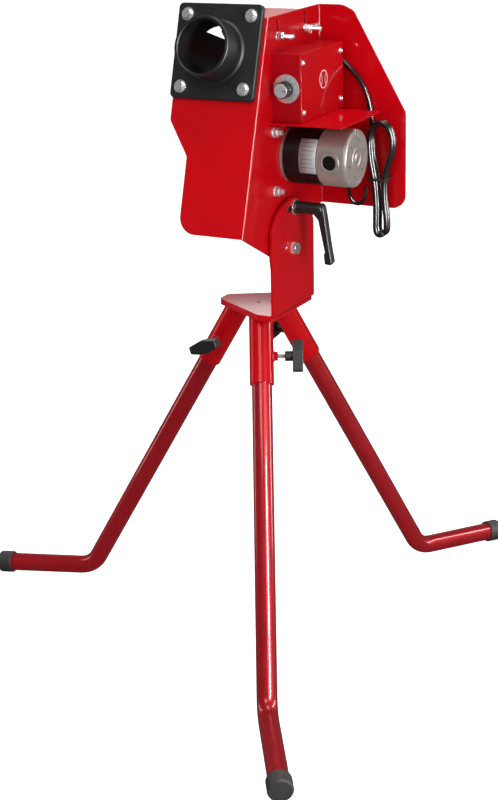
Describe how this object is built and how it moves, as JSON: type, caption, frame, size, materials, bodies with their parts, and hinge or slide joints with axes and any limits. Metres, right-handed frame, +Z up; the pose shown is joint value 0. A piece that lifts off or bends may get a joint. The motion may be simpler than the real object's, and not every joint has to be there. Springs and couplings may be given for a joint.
{
  "type": "ball pitching machine",
  "caption": "Single-wheel ball pitching machine: tilting head with motor, speed dial and feed tube, clamped to a splayed tripod with telescoping legs.",
  "frame": {"origin": "on the floor, at the middle of the footprint (bounding box) of the three feet", "axes": "+Z up, +Y the direction the ball is thrown, +X out along the motor and wheel shaft to the motor side"},
  "size_m": [0.812, 0.96, 1.0343],
  "materials": {
    "frame_panel": "gloss",
    "feed_tube": "satin",
    "feed_flange": "satin",
    "m8_bolts": "bright zinc",
    "m8_nuts": "bright zinc",
    "friction_pad": "matt",
    "wheel_guard": "gloss",
    "wheel_tyre": "matt",
    "wheel_hub": "cast, satin",
    "motor_shaft": "ground",
    "wheel_bolt": "bright zinc",
    "armature": "laminated iron and copper",
    "motor_can": "semi-gloss black",
    "motor_end_bells": "satin",
    "motor_tie_bolts": "zinc",
    "brush_caps": "satin",
    "carbon_brushes": "dull",
    "field_magnets": "dull",
    "motor_bearings": "polished",
    "motor_screws": "black oxide",
    "control_box": "gloss",
    "box_cover": "gloss",
    "cover_screws": "gloss",
    "potentiometer": "satin",
    "control_board": "gloss",
    "motor_shelf": "gloss",
    "panel_screws": "zinc",
    "speed_knob": "satin",
    "dial_skirt": "satin",
    "pot_shaft": "satin",
    "pinch_plate": "gloss",
    "pinch_pad": "matt",
    "pinch_bolts": "zinc",
    "wing_nut_near": "bright zinc",
    "wing_nut_far": "bright zinc",
    "clamp_stud": "zinc",
    "clamp_lever": "satin",
    "head_bracket": "gloss",
    "hub_plate": "gloss",
    "hub_screws": "zinc",
    "pivot_bolt": "bright zinc",
    "pivot_nut": "zinc",
    "leg_sockets": "gloss",
    "weld_nuts": "gloss",
    "power_cord": "gloss",
    "motor_lead": "gloss",
    "cord_tie": "gloss",
    "cord_grommets": "matt",
    "leg_left": "metallic gloss",
    "foot_cap_left": "matt",
    "lock_screw_left": "zinc",
    "lock_knob_left": "satin",
    "leg_front": "metallic gloss",
    "foot_cap_front": "matt",
    "lock_screw_front": "zinc",
    "lock_knob_front": "satin",
    "leg_right": "metallic gloss",
    "foot_cap_right": "matt",
    "lock_screw_right": "zinc",
    "lock_knob_right": "satin"
  },
  "bodies": {
    "stand": {"hub_plate": "hub_plate", "leg_sockets": "leg_sockets", "weld_nuts": "weld_nuts", "head_bracket": "head_bracket", "hub_screws": "hub_screws", "pivot_bolt": "pivot_bolt", "pivot_nut": "pivot_nut"},
    "head": {"frame_panel": "frame_panel", "friction_pad": "friction_pad", "feed_tube": "feed_tube", "feed_flange": "feed_flange", "m8_bolts": "m8_bolts", "m8_nuts": "m8_nuts", "motor_can": "motor_can", "motor_end_bells": "motor_end_bells", "motor_tie_bolts": "motor_tie_bolts", "brush_caps": "brush_caps", "carbon_brushes": "carbon_brushes", "field_magnets": "field_magnets", "motor_bearings": "motor_bearings", "motor_screws": "motor_screws", "control_box": "control_box", "box_cover": "box_cover", "cover_screws": "cover_screws", "panel_screws": "panel_screws", "potentiometer": "potentiometer", "control_board": "control_board", "motor_shelf": "motor_shelf", "power_cord": "power_cord", "cord_tie": "cord_tie", "motor_lead": "motor_lead", "cord_grommets": "cord_grommets", "wheel_guard": "wheel_guard"},
    "wheel": {"motor_shaft": "motor_shaft", "armature": "armature", "wheel_hub": "wheel_hub", "wheel_tyre": "wheel_tyre", "wheel_bolt": "wheel_bolt"},
    "pinch": {"pinch_plate": "pinch_plate", "pinch_pad": "pinch_pad", "pinch_bolts": "pinch_bolts"},
    "wing_near": {"wing_nut_near": "wing_nut_near"},
    "wing_far": {"wing_nut_far": "wing_nut_far"},
    "dial": {"speed_knob": "speed_knob", "dial_skirt": "dial_skirt", "pot_shaft": "pot_shaft"},
    "lever": {"clamp_lever": "clamp_lever", "clamp_stud": "clamp_stud"},
    "leg_left_body": {"leg_left": "leg_left", "foot_cap_left": "foot_cap_left"},
    "lock_left_body": {"lock_knob_left": "lock_knob_left", "lock_screw_left": "lock_screw_left"},
    "leg_front_body": {"leg_front": "leg_front", "foot_cap_front": "foot_cap_front"},
    "lock_front_body": {"lock_knob_front": "lock_knob_front", "lock_screw_front": "lock_screw_front"},
    "leg_right_body": {"leg_right": "leg_right", "foot_cap_right": "foot_cap_right"},
    "lock_right_body": {"lock_knob_right": "lock_knob_right", "lock_screw_right": "lock_screw_right"}
  },
  "joints": [
    {"name": "head_tilt", "type": "hinge", "parent": "stand", "child": "head", "pos_m": [0.18626, -0.0068, 0.6625], "axis": [1, 0, 0], "range_deg": [-20, 18]},
    {"name": "wheel_spin", "type": "hinge", "parent": "head", "child": "wheel", "pos_m": [0.18086, 0.00789, 0.80614], "axis": [1, 0, 0], "continuous": true},
    {"name": "pinch_height", "type": "slide", "parent": "head", "child": "pinch", "axis": [0, -0.0209, 0.9998], "range_m": [0, 0.0215]},
    {"name": "wing_near_turn", "type": "hinge", "parent": "pinch", "child": "wing_near", "pos_m": [0.18586, -0.0326, 0.98683], "axis": [1, 0, 0], "range_deg": [-180, 180]},
    {"name": "wing_far_turn", "type": "hinge", "parent": "pinch", "child": "wing_far", "pos_m": [0.18586, 0.05968, 0.98876], "axis": [1, 0, 0], "range_deg": [-180, 180]},
    {"name": "speed_dial", "type": "hinge", "parent": "head", "child": "dial", "pos_m": [0.20476, -0.05357, 0.91378], "axis": [0, -0.9998, -0.0209], "range_deg": [-30, 270]},
    {"name": "lever_turn", "type": "hinge", "parent": "head", "child": "lever", "pos_m": [0.18866, 0.00102, 0.72532], "axis": [1, 0, 0], "range_deg": [-90, 60]},
    {"name": "leg_left_length", "type": "slide", "parent": "stand", "child": "leg_left_body", "axis": [-0.5109, -0.0107, -0.8596], "range_m": [-0.02, 0.04]},
    {"name": "lock_left_turn", "type": "hinge", "parent": "stand", "child": "lock_left_body", "pos_m": [0.05566, -0.03104, 0.50012], "axis": [0.0209, -0.9998, 0], "range_deg": [-180, 180]},
    {"name": "leg_front_length", "type": "slide", "parent": "stand", "child": "leg_front_body", "axis": [0.2352, -0.4537, -0.8596], "range_m": [-0.02, 0.04]},
    {"name": "lock_front_turn", "type": "hinge", "parent": "stand", "child": "lock_front_body", "pos_m": [0.18469, -0.05828, 0.50012], "axis": [0.8878, 0.4602, 0], "range_deg": [-180, 180]},
    {"name": "leg_right_length", "type": "slide", "parent": "stand", "child": "leg_right_body", "axis": [0.2176, 0.4624, -0.8596], "range_m": [-0.02, 0.04]},
    {"name": "lock_right_turn", "type": "hinge", "parent": "stand", "child": "lock_right_body", "pos_m": [0.13735, 0.07268, 0.50012], "axis": [-0.9048, 0.4258, 0], "range_deg": [-180, 180]}
  ]
}
